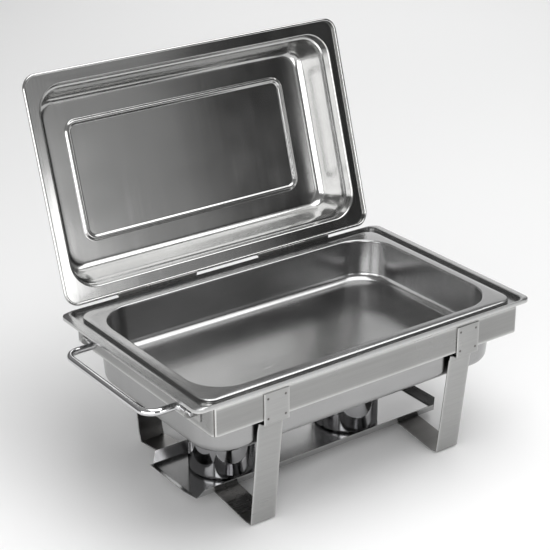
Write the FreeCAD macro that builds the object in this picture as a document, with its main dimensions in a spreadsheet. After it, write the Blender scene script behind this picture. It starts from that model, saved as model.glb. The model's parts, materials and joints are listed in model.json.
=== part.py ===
import FreeCAD, Part
import math
import os
import Sketcher

# Chafing dish for one full-size gastronorm food pan, in millimetres.
# Origin: on the table, under the middle of the stand.  +X runs along the long side, -Y is the
# serving side, +Y the lid side, +Z is up.

doc = FreeCAD.newDocument("ChafingDish")
sheet = doc.addObject("Spreadsheet::Sheet", "Dims")

DIMENSIONS = [
    # food pan, gastronorm 1/1
    ("gn_length", 530, "food pan over its rim, along X"),
    ("gn_width", 325, "food pan over its rim, along Y"),
    ("gn_depth", 65, "food pan depth below its rim"),
    ("gn_corner", 20, "outer corner radius of the food pan rim"),
    ("gn_rim", 15, "width of the flat rim"),
    ("gn_mouth_corner", 58, "corner radius of the food pan mouth"),
    ("gn_hem", 5.2, "turned-down edge of the food pan rim"),
    ("rim_height", 224, "top of the food pan rim above the table"),
    ("pan_sheet", 0.8, "sheet of both pans and the lid"),
    ("pan_draft", 4, "slope of the pan walls, degrees"),
    ("pan_foot_radius", 14, "radius between a pan's wall and its bottom"),
    # water pan
    ("water_length", 514, "water pan body at its mouth, along X"),
    ("water_width", 320, "water pan body at its mouth, along Y"),
    ("water_corner", 55, "corner radius of the water pan body"),
    ("water_depth", 91, "water pan body below its ledge"),
    ("ledge_drop", 5.5, "ledge of the water pan below the food pan rim"),
    ("lip_length", 554, "upstanding lip around the food pan, along X"),
    ("lip_width", 350, "upstanding lip around the food pan, along Y"),
    ("lip_corner", 14, "outer corner radius of the lip"),
    ("lip_rise", 2, "lip above the food pan rim"),
    ("lip_sheet", 1.6, "lip, folded double"),
    ("flange_length", 574, "water pan over its end flanges"),
    ("flange_rise", 0.5, "end flanges above the food pan rim"),
    ("flange_width", 351, "water pan over its long edges"),
    ("flange_corner", 12, "corner radius of the end flanges"),
    ("flange_hem", 6, "turned-down edge of the water pan"),
    # stand
    ("band_length", 524, "apron band, along X"),
    ("band_width", 352, "apron band, along Y"),
    ("band_corner", 8, "outer corner radius of the band"),
    ("band_sheet", 1.2, "sheet of the band"),
    ("band_foot", 178, "lower edge of the band above the table"),
    ("seat_gap", 0.3, "gap left between pieces that rest on each other"),
    ("strap_spacing", 330, "distance between the two leg straps"),
    ("strap_width", 40, "width of a leg strap"),
    ("strap_sheet", 2, "thickness of a leg strap"),
    ("strap_top", 216, "upper end of a strap on the band"),
    ("strap_shoulder", 170, "height where the strap turns inwards"),
    ("strap_step", 14, "how far the strap steps in below the band"),
    ("strap_fall", 3, "how far the step falls"),
    ("leg_foot_y", 143, "middle of the strap at the foot, from the centre plane"),
    ("leg_foot_z", 1.12, "middle of the strap at the foot, above the table"),
    ("bar_bend_y", 62, "where the floor bar levels out under the tray"),
    ("bar_rise", 10, "underside of the level part of the floor bar"),
    ("weld_spot", 2, "radius of a spot weld dimple"),
    ("weld_depth", 0.4, "depth of a spot weld dimple"),
    ("weld_pitch_x", 28, "spot welds, spacing across the strap"),
    ("weld_pitch_z", 29, "spot welds, spacing along the strap"),
    ("weld_top", 208, "height of the upper spot welds"),
    # fuel tray
    ("tray_length", 430, "tray floor, along X"),
    ("tray_width", 114, "tray floor, along Y"),
    ("tray_sheet", 1, "sheet of the tray"),
    ("tray_wall", 17, "length of a tray flange up its slope"),
    ("tray_slope_side", 60, "slope of the long flanges, degrees from level"),
    ("tray_slope_end", 38, "slope of the end flanges, degrees from level"),
    ("tray_nip_side", 9, "slant cut at each end of a long flange"),
    ("tray_nip_end", 13, "slant cut at each end of an end flange"),
    # lid
    ("lid_length", 546, "lid over its rolled edge, along X"),
    ("lid_width", 332, "lid over its rolled edge, across"),
    ("lid_corner", 22, "outer corner radius of the lid"),
    ("lid_edge", 2.5, "radius of the rolled edge"),
    ("lid_mouth_length", 506, "mouth of the dome, along X"),
    ("lid_mouth_width", 300, "mouth of the dome, across"),
    ("lid_mouth_corner", 40, "corner radius of the mouth"),
    ("lid_first_step", 11, "height of the lower wall of the dome"),
    ("lid_ledge", 3, "width of the small step round the dome"),
    ("lid_depth", 60, "panel of the lid above the rolled edge's centre"),
    ("lid_draft", 17, "slope of the dome walls, degrees"),
    ("lid_dome_radius", 15, "radius between the dome wall and the panel"),
    ("bead_length", 378, "pressed bead in the panel, along X"),
    ("bead_width", 172, "pressed bead in the panel, across"),
    ("bead_corner", 15, "corner radius of the bead"),
    ("bead_radius", 2.4, "radius of the bead's section"),
    ("lid_open", 106.9, "opening angle of the lid, degrees"),
    ("lid_axis_z", 229.2, "height of the axis that the lid turns about"),
    # lid holders
    ("holder_length", 134, "length of a lid holder"),
    ("holder_gap", 112, "gap between the two holders"),
    ("holder_sheet", 1.2, "sheet of a holder"),
    ("holder_foot", 188, "lower edge of a holder on the band"),
    ("holder_back", 12, "length of the leaning back stop"),
    ("edge_clearance", 0.1, "radial clearance round the rolled edge"),
    # lid handle
    ("bow_span", 120, "distance between the arms of the lid handle"),
    ("bow_rise", 36, "middle of the lid handle's bar above its plates"),
    ("bow_rod", 5, "radius of the lid handle's rod"),
    ("bow_bend", 14, "bend radius of the lid handle"),
    ("plate_radius", 12, "weld plate of the lid handle"),
    ("plate_sheet", 1.2, "thickness of a weld plate"),
    # end handles
    ("grip_span", 214, "distance between the arms of an end handle"),
    ("grip_reach", 47, "pivot to the middle of the grip"),
    ("grip_rod", 5, "radius of the handle's rod"),
    ("grip_bend", 20, "bend radius of the handle"),
    ("grip_height", 198, "pivot above the table"),
    ("grip_offset", 8.5, "pivot out from the band"),
    ("pivot_radius", 3, "radius of the pivot end of the rod"),
    ("pivot_length", 31, "length of the pivot end"),
    ("pivot_clearance", 0.08, "radial clearance in the eye"),
    ("ear_sheet", 2, "thickness of the eye plate"),
    ("ear_radius", 8, "outer radius of the eye"),
    ("ear_gap", 19, "arm of the handle to the eye plate"),
    ("foot_width", 16, "welded foot of the bracket, along Y"),
    ("foot_height", 22, "welded foot of the bracket, along Z"),
    ("foot_sheet", 1.5, "thickness of the welded foot"),
    # burners
    ("cup_radius", 48, "outer radius of a fuel cup"),
    ("cup_height", 62, "height of a fuel cup"),
    ("cup_sheet", 0.8, "sheet of a fuel cup"),
    ("left_cup_x", -135, "place of the left fuel cup on the tray"),
    ("right_cup_x", 90, "place of the right fuel cup on the tray"),
    ("ring_overhang", 0.8, "collar beyond the cup"),
    ("ring_skirt", 8, "depth of the collar's skirt in the cup"),
    ("ring_sheet", 1, "thickness of the collar"),
    ("flame_hole", 26, "radius of the flame opening"),
    ("snuffer_radius", 29, "radius of the snuffer cover"),
    ("snuffer_sheet", 1.2, "thickness of the snuffer cover"),
    ("rivet_offset", 38, "rivet from the cup's axis"),
    ("rivet_radius", 1.6, "radius of the rivet shank"),
    ("rivet_head", 3.6, "radius of the rivet heads"),
    ("knob_radius", 4, "radius of the snuffer's knob"),
    ("knob_height", 9, "height of the snuffer's knob"),
    ("knob_offset", 20, "knob from the cup's axis"),
    ("arm_width", 10.8, "width of the snuffer's arm"),
    # cutting
    ("overcut", 1, "how far a cutting solid passes a face"),
    ("cutter", 40, "a cutting block, larger than any trough"),
]

for row, (alias, value, note) in enumerate(DIMENSIONS, start=1):
    sheet.set(f"A{row}", alias)
    sheet.set(f"B{row}", str(value))
    sheet.set(f"C{row}", note)
    sheet.setAlias(f"B{row}", alias)
doc.recompute()

ORIGIN = (-1, 1)
START, END, CENTRE = 1, 2, 3


def number(formula):
    """The value of a formula of the sheet's cells."""
    return float(sheet.evalExpression(formula))


def bind(thing, **formulas):
    """Bind properties to formulas of the sheet's cells; __ in a name stands for a dot."""
    for name, formula in formulas.items():
        thing.setExpression(name.replace("__", "."), in_sheet(formula))
    return thing


def in_sheet(formula):
    """The formula with each cell's name led by the sheet's name."""
    words = []
    for word in formula.split(" "):
        bare = word.strip("()-")
        words.append(word.replace(bare, "Dims." + bare) if bare in ALIASES else word)
    return " ".join(words)


ALIASES = {alias for alias, _, _ in DIMENSIONS}


def new_body(label):
    body = doc.addObject("PartDesign::Body", label)
    body.Label = label
    return body


def new_sketch(body, role, height="0"):
    """A sketch on one of the body's own origin planes, moved along the plane's normal."""
    sketch = body.newObject("Sketcher::SketchObject", body.Label + "_sketch")
    plane = [p for p in body.Origin.OriginFeatures if p.Role == role][0]
    sketch.AttachmentSupport = [(plane, "")]
    sketch.MapMode = "FlatFace"
    sketch.setExpression("AttachmentOffset.Base.z", in_sheet(height))
    return sketch


def pin_down(sketch, geometry, point, kind, formula):
    """Hold a point's distance from the sketch's origin at a formula of the cells."""
    index = sketch.addConstraint(Sketcher.Constraint(kind, *ORIGIN, geometry, point, number(formula)))
    sketch.setExpression(f"Constraints[{index}]", in_sheet(formula))


def hold_radius(sketch, geometry, formula):
    index = sketch.addConstraint(Sketcher.Constraint("Radius", geometry, number(formula)))
    sketch.setExpression(f"Constraints[{index}]", in_sheet(formula))


def add_circle(sketch, x, y, radius):
    centre = FreeCAD.Vector(number(x), number(y), 0)
    circle = sketch.addGeometry(Part.Circle(centre, FreeCAD.Vector(0, 0, 1), number(radius)))
    pin_down(sketch, circle, CENTRE, "DistanceX", x)
    pin_down(sketch, circle, CENTRE, "DistanceY", y)
    hold_radius(sketch, circle, radius)


def add_rectangle(sketch, left, right, low, high):
    """Four sides, held by the formulas of two opposite corners."""
    x = (number(left), number(right))
    y = (number(low), number(high))
    spots = [FreeCAD.Vector(x[i], y[j], 0) for i, j in ((0, 0), (1, 0), (1, 1), (0, 1))]
    sides = [sketch.addGeometry(Part.LineSegment(spots[k], spots[(k + 1) % 4])) for k in range(4)]
    for k in range(4):
        sketch.addConstraint(Sketcher.Constraint("Coincident", sides[k], END, sides[(k + 1) % 4], START))
        sketch.addConstraint(Sketcher.Constraint("Horizontal" if k % 2 == 0 else "Vertical", sides[k]))
    pin_down(sketch, sides[0], START, "DistanceX", left)
    pin_down(sketch, sides[0], START, "DistanceY", low)
    pin_down(sketch, sides[2], START, "DistanceX", right)
    pin_down(sketch, sides[2], START, "DistanceY", high)


def add_rounded_loop(sketch, length, width, corner):
    """A rectangle about the sketch's origin with four round corners."""
    half = (number(length) / 2, number(width) / 2)
    radius = number(corner)
    sides = []
    for turn in range(4):
        along, across = (half[0], half[1]) if turn % 2 == 0 else (half[1], half[0])
        spin = FreeCAD.Rotation(FreeCAD.Vector(0, 0, 1), 90 * turn)
        first = spin.multVec(FreeCAD.Vector(radius - along, -across, 0))
        last = spin.multVec(FreeCAD.Vector(along - radius, -across, 0))
        sides.append(sketch.addGeometry(Part.LineSegment(first, last)))
    corners = []
    for turn, (sign_x, sign_y) in enumerate([(1, -1), (1, 1), (-1, 1), (-1, -1)]):
        centre = FreeCAD.Vector(sign_x * (half[0] - radius), sign_y * (half[1] - radius), 0)
        circle = Part.Circle(centre, FreeCAD.Vector(0, 0, 1), radius)
        begin = math.radians(90 * (turn - 1))
        corners.append(sketch.addGeometry(Part.ArcOfCircle(circle, begin, begin + math.pi / 2)))
    for turn in range(4):
        after = sides[(turn + 1) % 4]
        sketch.addConstraint(Sketcher.Constraint("Tangent", sides[turn], END, corners[turn], START))
        sketch.addConstraint(Sketcher.Constraint("Tangent", corners[turn], END, after, START))
        sketch.addConstraint(Sketcher.Constraint("Horizontal" if turn % 2 == 0 else "Vertical", sides[turn]))
        hold_radius(sketch, corners[turn], corner)
    pin_down(sketch, sides[0], START, "DistanceY", f"-({width}) / 2")
    pin_down(sketch, sides[1], START, "DistanceX", f"({length}) / 2")
    pin_down(sketch, sides[2], START, "DistanceY", f"({width}) / 2")
    pin_down(sketch, sides[3], START, "DistanceX", f"-({length}) / 2")


def add_open_path(sketch, points):
    """Straight runs through the points, each point held by two formulas."""
    spots = [FreeCAD.Vector(number(x), number(y), 0) for x, y in points]
    runs = [sketch.addGeometry(Part.LineSegment(a, b)) for a, b in zip(spots, spots[1:])]
    for first, second in zip(runs, runs[1:]):
        sketch.addConstraint(Sketcher.Constraint("Coincident", first, END, second, START))
    for index, (x, y) in enumerate(points):
        run, point = (runs[index], START) if index < len(runs) else (runs[-1], END)
        pin_down(sketch, run, point, "DistanceX", x)
        pin_down(sketch, run, point, "DistanceY", y)


def add_bow_path(sketch, span, foot, reach, bend):
    """Two arms and a bar: from (-span/2, foot) out to the bar at y = reach, round two bends, and back."""
    half, low, high, radius = (number(size) for size in (f"({span}) / 2", foot, reach, bend))
    rising = high > low
    elbow = high - radius if rising else high + radius
    out = half - radius

    def run(from_x, from_y, to_x, to_y):
        ends = FreeCAD.Vector(from_x, from_y, 0), FreeCAD.Vector(to_x, to_y, 0)
        return sketch.addGeometry(Part.LineSegment(*ends))

    def quarter_turn(x, quarters):
        circle = Part.Circle(FreeCAD.Vector(x, elbow, 0), FreeCAD.Vector(0, 0, 1), radius)
        begin = quarters * math.pi / 2
        return sketch.addGeometry(Part.ArcOfCircle(circle, begin, begin + math.pi / 2))

    arm_a = run(-half, low, -half, elbow)
    bar = run(-out, high, out, high)
    arm_b = run(half, elbow, half, low)
    bend_a = quarter_turn(-out, 1 if rising else 2)
    bend_b = quarter_turn(out, 0 if rising else 3)
    # Arcs run anticlockwise, so a rising bow goes through its bends from their ends to their starts.
    enter, leave = (END, START) if rising else (START, END)
    for join in (
        (arm_a, END, bend_a, enter),
        (bend_a, leave, bar, START),
        (bar, END, bend_b, enter),
        (bend_b, leave, arm_b, START),
    ):
        sketch.addConstraint(Sketcher.Constraint("Tangent", *join))
    pin_down(sketch, arm_a, START, "DistanceX", f"-({span}) / 2")
    pin_down(sketch, arm_a, START, "DistanceY", foot)
    pin_down(sketch, arm_b, END, "DistanceX", f"({span}) / 2")
    pin_down(sketch, arm_b, END, "DistanceY", foot)
    pin_down(sketch, bar, START, "DistanceY", reach)
    sketch.addConstraint(Sketcher.Constraint("Vertical", arm_a))
    sketch.addConstraint(Sketcher.Constraint("Horizontal", bar))
    sketch.addConstraint(Sketcher.Constraint("Vertical", arm_b))
    hold_radius(sketch, bend_a, bend)


def pad(body, sketch, length, down=False, draft="0"):
    feature = body.newObject("PartDesign::Pad", body.Label + "_pad")
    feature.Profile = sketch
    feature.Reversed = down
    bind(feature, Length=length, TaperAngle=draft)
    return feature


def sweep(body, profile, path):
    feature = body.newObject("PartDesign::AdditivePipe", body.Label + "_sweep")
    feature.Profile = profile
    feature.Spine = path
    return feature


def round_edges(body, base, wanted, radius):
    """A fillet on the edges of base whose ends and middle all pass the test."""
    doc.recompute()
    names = []
    for index, edge in enumerate(base.Shape.Edges, start=1):
        middle = edge.valueAt((edge.FirstParameter + edge.LastParameter) / 2)
        if all(wanted(p) for p in [middle] + [v.Point for v in edge.Vertexes]):
            names.append(f"Edge{index}")
    feature = body.newObject("PartDesign::Fillet", body.Label + "_round")
    feature.Base = (base, names)
    return bind(feature, Radius=radius)


def pocket(body, sketch, length, up=False, draft="0"):
    """Cut the sketch out of the body; a cut that takes nothing away is a fault."""
    doc.recompute()
    before = body.Shape.Volume
    feature = body.newObject("PartDesign::Pocket", body.Label + "_pocket")
    feature.Profile = sketch
    feature.Reversed = up
    bind(feature, Length=length, TaperAngle=draft)
    doc.recompute()
    if body.Shape.Volume > before - 1:
        raise RuntimeError(f"{body.Label}: the pocket cuts nothing")
    return feature


def draw_pan(body, height, mouth, depth):
    """A drawn pan of even sheet, from its mouth down: sloping walls and a rounded foot."""
    sketch = new_sketch(body, "XY_Plane", height)
    add_rounded_loop(sketch, *mouth)
    pad(body, sketch, depth, down=True, draft="-pan_draft")
    sketch = new_sketch(body, "XY_Plane", height)
    add_rounded_loop(sketch, *inside(mouth, "pan_sheet"))
    hollow = pocket(body, sketch, f"{depth} - pan_sheet", draft="-pan_draft")
    foot = number(f"{height} - {depth}")
    round_both_sides(body, hollow, foot + number("pan_sheet"), foot, "pan_foot_radius")


def round_both_sides(body, base, inner_level, outer_level, radius):
    """Round the sheet where it turns into a level face, inside first, then outside."""
    inner = round_edges(body, base, lambda p: abs(p.z - inner_level) < 0.01, f"{radius} - pan_sheet")
    return round_edges(body, inner, lambda p: abs(p.z - outer_level) < 0.01, radius)


def inside(outline, sheet_thickness):
    """The outline (length, width, corner) one sheet further in."""
    length, width, corner = outline
    both = f"2 * {sheet_thickness}"
    return (f"{length} - {both}", f"{width} - {both}", f"{corner} - {sheet_thickness}")


def add_ring(body, height, thickness, outer, inner, down=False):
    """A flat rounded frame: outer and inner are (length, width, corner)."""
    sketch = new_sketch(body, "XY_Plane", height)
    add_rounded_loop(sketch, *outer)
    add_rounded_loop(sketch, *inner)
    return pad(body, sketch, thickness, down)


def box(label, length, width, height, x, y, z):
    solid = doc.addObject("Part::Box", label)
    return bind(solid, Length=length, Width=width, Height=height,
                Placement__Base__x=x, Placement__Base__y=y, Placement__Base__z=z)


def cylinder(label, radius, height, x, y, z, along="Z"):
    solid = doc.addObject("Part::Cylinder", label)
    turns = {"Z": ((0, 0, 1), 0), "X": ((0, 1, 0), 90), "Y": ((1, 0, 0), -90)}
    axis, angle = turns[along]
    solid.Placement.Rotation = FreeCAD.Rotation(FreeCAD.Vector(*axis), angle)
    return bind(solid, Radius=radius, Height=height,
                Placement__Base__x=x, Placement__Base__y=y, Placement__Base__z=z)


def laid(kind, label, placement, **sizes):
    """A Part primitive with bound sizes, laid where a worked-out placement says."""
    solid = doc.addObject(kind, label)
    solid.Placement = placement
    return bind(solid, **sizes)


def signed(sign, formula):
    """The formula, or its negative on the minus side."""
    return formula if sign > 0 else f"-({formula})"


def fuse(label, pieces):
    joined = doc.addObject("Part::MultiFuse", label)
    joined.Shapes = pieces
    joined.Refine = True
    joined.Label = label
    return joined


def cut(label, base, tool):
    remains = doc.addObject("Part::Cut", label)
    remains.Base = base
    remains.Tool = tool
    remains.Refine = True
    remains.Label = label
    return remains


nodes = []

# --- Stand ---------------------------------------------------------------------------------

# Apron band: one sheet bent round the pans and welded into a ring.
LEDGE_UNDER = "rim_height - ledge_drop - pan_sheet"
BAND = ("band_length", "band_width", "band_corner")
band = new_body("frame_band")
add_ring(
    band, "band_foot", f"{LEDGE_UNDER} - seat_gap - band_foot",
    BAND, inside(BAND, "band_sheet"),
)
nodes.append(band)


def leg_strap(label, side):
    """A flat bar bent into a U: two lapped ends, two stepped-in legs and a floor bar."""
    bar = new_body(label + "_bar")
    middle = signed(side, "strap_spacing / 2")
    face = "( band_width + strap_sheet ) / 2"
    half = [
        (face, "strap_top"),
        (face, "strap_shoulder"),
        (f"{face} - strap_step", "strap_shoulder - strap_fall"),
        ("leg_foot_y", "leg_foot_z"),
        ("bar_bend_y", "bar_rise + strap_sheet / 2"),
    ]
    path = new_sketch(bar, "YZ_Plane", middle)
    front = [(f"-({y})", z) for y, z in half]
    add_open_path(path, front + half[::-1])
    section = new_sketch(bar, "XY_Plane", "strap_top")
    add_rectangle(section, f"{middle} - strap_width / 2", f"{middle} + strap_width / 2",
                  "-band_width / 2 - strap_sheet", "-band_width / 2")
    swept = sweep(bar, section, path)
    swept.Transition = "Right corner"
    dimples = []
    for face_sign in (-1, 1):
        for column in (-1, 1):
            for drop in (0, 1):
                outside = "band_width / 2 + strap_sheet - weld_depth"
                start = outside if face_sign > 0 else "-band_width / 2 - strap_sheet - overcut"
                dimples.append(cylinder(
                    f"{label}_weld", "weld_spot", "weld_depth + overcut",
                    f"{middle} + {column} * weld_pitch_x / 2", start,
                    f"weld_top - {drop} * weld_pitch_z", along="Y",
                ))
    return cut(label, bar, fuse(label + "_welds", dimples))


nodes.append(leg_strap("leg_strap_left", -1))
nodes.append(leg_strap("leg_strap_right", 1))


def lid_holder(label, side):
    """A channel for the lid's rolled edge: front plate, round trough and a leaning back stop.

    The front plate is notched round the upper end of the leg strap.
    """
    start = "-holder_gap / 2 - holder_length" if side < 0 else "holder_gap / 2"
    bore = "lid_edge + edge_clearance"
    axis_y = f"band_width / 2 + holder_sheet + {bore}"
    plate = box(label + "_plate", "holder_length", "holder_sheet", "lid_axis_z - holder_foot",
                start, "band_width / 2", "holder_foot")
    notch_x = f"{signed(side, 'strap_spacing / 2')} - strap_width / 2 - seat_gap"
    notch = box(label + "_notch", "strap_width + 2 * seat_gap", "holder_sheet + 2 * overcut",
                "strap_top + seat_gap - holder_foot + overcut",
                notch_x, "band_width / 2 - overcut", "holder_foot - overcut")
    outer = cylinder(label + "_trough", f"{bore} + holder_sheet", "holder_length",
                     start, axis_y, "lid_axis_z", along="X")
    inner = cylinder(label + "_bore", bore, "holder_length + 2 * overcut",
                     f"{start} - overcut", axis_y, "lid_axis_z", along="X")
    above = box(label + "_mouth", "holder_length + 2 * overcut", "cutter", "cutter / 2",
                f"{start} - overcut", f"{axis_y} - cutter / 2", "lid_axis_z")
    channel = cut(label + "_channel", cut(label + "_pipe", outer, inner), above)
    axis = FreeCAD.Vector(number(start), number(axis_y), number("lid_axis_z"))
    tilt = FreeCAD.Rotation(FreeCAD.Vector(1, 0, 0), -number("lid_open - 90"))
    reach = tilt.multVec(FreeCAD.Vector(0, number(bore), 0))
    stop = laid("Part::Box", label + "_stop", FreeCAD.Placement(axis + reach, tilt),
                Length="holder_length", Width="holder_sheet", Height="holder_back")
    # The trough ends where the stop begins, so that the open lid lies flat on the stop.
    inwards = tilt.multVec(FreeCAD.Vector(0, -number("cutter"), 0))
    flush = laid("Part::Box", label + "_flush", FreeCAD.Placement(axis + reach + inwards, tilt),
                 Length="holder_length", Width="cutter", Height="cutter / 2")
    trough = cut(label + "_flush_trough", channel, flush)
    return fuse(label, [cut(label + "_front", plate, notch), trough, stop])


nodes.append(lid_holder("lid_holder_left", -1))
nodes.append(lid_holder("lid_holder_right", 1))


HANDLE_PIVOT = "band_length / 2 + grip_offset"


def handle_bracket(label, end, side):
    """A foot welded on the end of the band, with an eye that the handle's pivot turns in."""
    eye_y = "grip_span / 2 + grip_rod + ear_gap"
    foot_x = "band_length / 2" if end > 0 else "-band_length / 2 - foot_sheet"
    foot_y = eye_y if side > 0 else f"-({eye_y}) - foot_width"
    ear_y = eye_y if side > 0 else f"-({eye_y}) - ear_sheet"
    centre_x = signed(end, HANDLE_PIVOT)
    web_x = "band_length / 2" if end > 0 else centre_x
    foot = box(label + "_foot", "foot_sheet", "foot_width", "foot_height",
               foot_x, foot_y, "grip_height - foot_height / 2")
    web = box(label + "_web", "grip_offset", "ear_sheet", "ear_radius * 2",
              web_x, ear_y, "grip_height - ear_radius")
    eye = cylinder(label + "_eye", "ear_radius", "ear_sheet", centre_x, ear_y, "grip_height", along="Y")
    hole = cylinder(label + "_hole", "pivot_radius + pivot_clearance", "ear_sheet + 2 * overcut",
                    centre_x, f"{ear_y} - overcut", "grip_height", along="Y")
    return cut(label, fuse(label + "_blank", [foot, web, eye]), hole)


for end, end_name in ((-1, "left"), (1, "right")):
    for side, side_name in ((-1, "front"), (1, "rear")):
        nodes.append(handle_bracket(f"handle_bracket_{end_name}_{side_name}", end, side))


def end_handle(label, end):
    """A round rod bent into a bow, with turned-down pivots that point outwards."""
    body = new_body(label + "_rod")
    arm_end = f"{HANDLE_PIVOT} - grip_rod"
    path = new_sketch(body, "XY_Plane", "grip_height")
    # Turned a quarter, the sketch's x runs along Y and its y along -X.
    path.AttachmentOffset.Rotation = FreeCAD.Rotation(FreeCAD.Vector(0, 0, 1), 90)
    bar_line = signed(-end, f"{HANDLE_PIVOT} + grip_reach")
    add_bow_path(path, "grip_span", signed(-end, arm_end), bar_line, "grip_bend")
    section = new_sketch(body, "YZ_Plane", signed(end, arm_end))
    add_circle(section, "-grip_span / 2", "grip_height", "grip_rod")
    sweep(body, section, path)
    pivots = []
    for side in (-1, 1):
        start = "grip_span / 2" if side > 0 else "-grip_span / 2 - pivot_length"
        pivots.append(cylinder(label + "_pivot", "pivot_radius", "pivot_length",
                               signed(end, HANDLE_PIVOT), start, "grip_height", along="Y"))
    return fuse(label, [body] + pivots)


nodes.append(end_handle("handle_left", -1))
nodes.append(end_handle("handle_right", 1))


# Fuel tray: a floor with four flanges bent up, cut away at the corners.
TRAY_UNDER = "bar_rise + strap_sheet"


def tray_flange(label, length, slope, nip, turn, reach):
    """One flange, narrower at its tip, hinged up at the floor's edge and turned to its side."""
    spin = FreeCAD.Rotation(FreeCAD.Vector(0, 0, 1), turn)
    rise = FreeCAD.Rotation(FreeCAD.Vector(1, 0, 0), number(slope))
    root = spin.multVec(FreeCAD.Vector(0, number(reach), number(TRAY_UNDER)))
    half = f"({length}) / 2"
    return laid("Part::Wedge", label, FreeCAD.Placement(root, spin.multiply(rise)),
                Xmin=f"-{half}", Xmax=half, Ymin="0", Ymax="tray_wall", Zmin="0", Zmax="tray_sheet",
                X2min=f"{nip} - {half}", X2max=f"{half} - {nip}", Z2min="0", Z2max="tray_sheet")


tray_pieces = [
    box("tray_floor", "tray_length", "tray_width", "tray_sheet",
        "-tray_length / 2", "-tray_width / 2", TRAY_UNDER)
]
for turn in (0, 180):
    tray_pieces.append(
        tray_flange("tray_side", "tray_length", "tray_slope_side", "tray_nip_side", turn, "tray_width / 2"))
for turn in (90, 270):
    tray_pieces.append(
        tray_flange("tray_end", "tray_width", "tray_slope_end", "tray_nip_end", turn, "tray_length / 2"))
nodes.append(fuse("fuel_tray", tray_pieces))

# --- Pans ----------------------------------------------------------------------------------

# Water pan: a deep-drawn body, a ledge for the food pan, a folded lip and end flanges.
LEDGE = "rim_height - ledge_drop"
water = new_body("water_pan_drawing")
BASIN = ("water_length", "water_width", "water_corner")
draw_pan(water, LEDGE, BASIN, "water_depth")
FLANGE = ("flange_length", "flange_width", "flange_corner")
LIP = ("lip_length", "lip_width", "lip_corner")
add_ring(water, LEDGE, "pan_sheet", LIP, inside(BASIN, "pan_sheet"), down=True)
add_ring(
    water, f"{LEDGE} - pan_sheet", "lip_rise + ledge_drop + pan_sheet",
    LIP, inside(LIP, "lip_sheet"),
)
FLANGE_TOP = "rim_height + flange_rise"
add_ring(water, FLANGE_TOP, "pan_sheet", FLANGE, inside(LIP, "lip_sheet"), down=True)
hems = []
for x in ("-flange_length / 2", "flange_length / 2 - pan_sheet"):
    hems.append(box("water_pan_hem", "pan_sheet", "flange_width - 2 * flange_corner", "flange_hem",
                    x, "flange_corner - flange_width / 2", f"{FLANGE_TOP} - flange_hem"))
nodes.append(fuse("water_pan", [water] + hems))

# Food pan: the gastronorm pan that hangs by its rim on the water pan's ledge.
FOOD_MOUTH = ("gn_length - 2 * gn_rim", "gn_width - 2 * gn_rim", "gn_mouth_corner")
FOOD_RIM = ("gn_length", "gn_width", "gn_corner")
food = new_body("food_pan")
draw_pan(food, "rim_height", FOOD_MOUTH, "gn_depth")
add_ring(food, "rim_height", "pan_sheet", FOOD_RIM, inside(FOOD_MOUTH, "pan_sheet"), down=True)
add_ring(food, "rim_height", "gn_hem", FOOD_RIM, inside(FOOD_RIM, "pan_sheet"), down=True)
nodes.append(food)

# --- Lid -----------------------------------------------------------------------------------

# The lid is drawn closed, about the middle of its rolled edge, and then turned open.
hinge_y = number("band_width / 2 + holder_sheet + lid_edge + edge_clearance")
hinge = FreeCAD.Vector(0, hinge_y, number("lid_axis_z"))
opened = FreeCAD.Rotation(FreeCAD.Vector(1, 0, 0), -number("lid_open"))
inwards = FreeCAD.Vector(0, number("lid_edge") - number("lid_width") / 2, 0)
lid_place = FreeCAD.Placement(hinge, opened).multiply(FreeCAD.Placement(inwards, FreeCAD.Rotation()))

# Lid: a pressed dome with a small step, a flat flange and an edge rolled round.
lid = new_body("lid_shell")
LID_MOUTH = ("lid_mouth_length", "lid_mouth_width", "lid_mouth_corner")
BRIM = "lid_edge - pan_sheet"
inset = "2 * lid_ledge + 2 * lid_first_step * tan( lid_draft * 1deg )"
LID_SHOULDER = (f"lid_mouth_length - ( {inset} )", f"lid_mouth_width - ( {inset} )",
                f"lid_mouth_corner - ( {inset} ) / 2")
dome_rise = f"lid_depth - lid_first_step - ( {BRIM} )"


def dome_steps(sheet_in):
    """The sketch and the rise of the dome's lower and upper wall, this much sheet further in."""
    for outline, base, rise in (
        (LID_MOUTH, BRIM, f"lid_first_step - {sheet_in}"),
        (LID_SHOULDER, f"{BRIM} + lid_first_step - {sheet_in}", dome_rise),
    ):
        step = new_sketch(lid, "XY_Plane", base)
        add_rounded_loop(step, *inside(outline, sheet_in))
        yield step, rise


for step, rise in dome_steps("0"):
    pad(lid, step, rise, draft="-lid_draft")
for step, rise in dome_steps("pan_sheet"):
    dome = pocket(lid, step, rise, up=True, draft="-lid_draft")
round_both_sides(lid, dome, number("lid_depth - pan_sheet"), number("lid_depth"), "lid_dome_radius")
LID_BRIM = ("lid_length - 2 * lid_edge", "lid_width - 2 * lid_edge", "lid_corner - lid_edge")
add_ring(lid, BRIM, "pan_sheet", LID_BRIM, inside(LID_MOUTH, "pan_sheet"))


def rolled_ring(body, length, width, corner, height, radius):
    """A round rod carried once round a rounded rectangle."""
    path = new_sketch(body, "XY_Plane", height)
    add_rounded_loop(path, length, width, corner)
    section = new_sketch(body, "YZ_Plane")
    add_circle(section, f"-({width}) / 2", height, radius)
    return sweep(body, section, path)


rolled_ring(lid, *LID_BRIM, "0", "lid_edge")
rolled_ring(lid, "bead_length", "bead_width", "bead_corner", "lid_depth - pan_sheet / 2", "bead_radius")
lid.Placement = lid_place
nodes.append(lid)

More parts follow.
